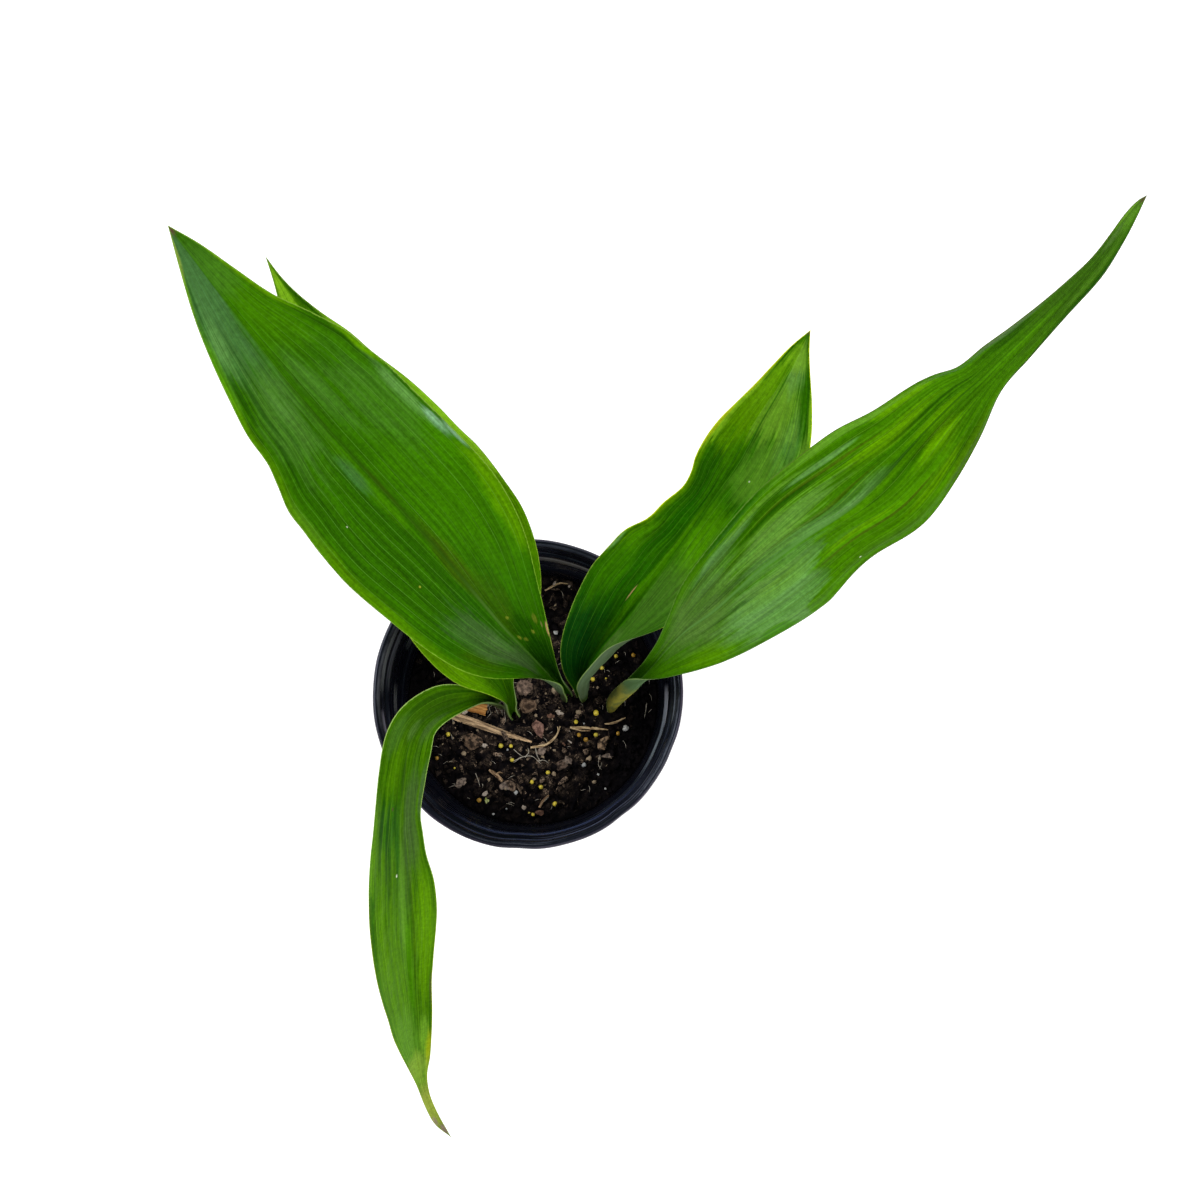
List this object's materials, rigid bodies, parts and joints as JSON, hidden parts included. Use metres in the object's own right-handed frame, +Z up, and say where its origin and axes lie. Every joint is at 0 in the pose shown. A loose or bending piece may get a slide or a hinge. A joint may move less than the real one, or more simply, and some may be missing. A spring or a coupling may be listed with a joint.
{
  "type": "potted cast iron plant",
  "caption": "Young cast iron plant with broad arching leaves on upright petioles, rooted in potting mix in a thin black nursery pot.",
  "frame": {"origin": "centre of the pot's underside, on the surface that the pot stands on", "axes": "+Z up; +Y towards the side that the three upright leaves lean to; +X to the right, seen from above with +Y away"},
  "size_m": [0.383, 0.453, 0.396],
  "materials": {
    "pot": "thin blow-moulded black plastic with soft streaky gloss",
    "mix": "damp dark potting mix of peat and composted bark, matte and crumbly",
    "rhizome": "pale brown, ringed and matte",
    "leaf_broad": "mid green leaf with fine parallel veins and a waxy sheen",
    "leaf_under": "yellow-green leaf with fine parallel veins and a waxy sheen",
    "leaf_middle": "deep green leaf with fine parallel veins and a pale underside",
    "leaf_long": "pleated green leaf with a broad waxy sheen and thin brownish margins",
    "leaf_drooping": "green leaf with yellower streaks and a shrivelled tan tip",
    "bark": "rough grey-brown bark",
    "dry_leaf": "dead leaf tissue, fibrous and papery",
    "straw": "dry straw and thin twigs"
  },
  "bodies": {
    "root": {"pot": "pot", "mix": "mix", "rhizome": "rhizome", "leaf_broad": "leaf_broad", "leaf_under": "leaf_under", "leaf_middle": "leaf_middle", "leaf_long": "leaf_long", "leaf_drooping": "leaf_drooping", "bark_chip_1": "bark", "bark_chip_2": "bark", "bark_chip_3": "bark", "bark_chip_4": "bark", "bark_chip_5": "bark", "bark_chip_6": "bark", "bark_chip_7": "bark", "dry_strip": "dry_leaf", "dry_sheath": "dry_leaf", "twig_bent": "straw", "straw_right": "straw", "twig_front": "straw", "straw_back": "straw", "stick_front": "straw", "sliver_right": "straw"}
  },
  "joints": []
}
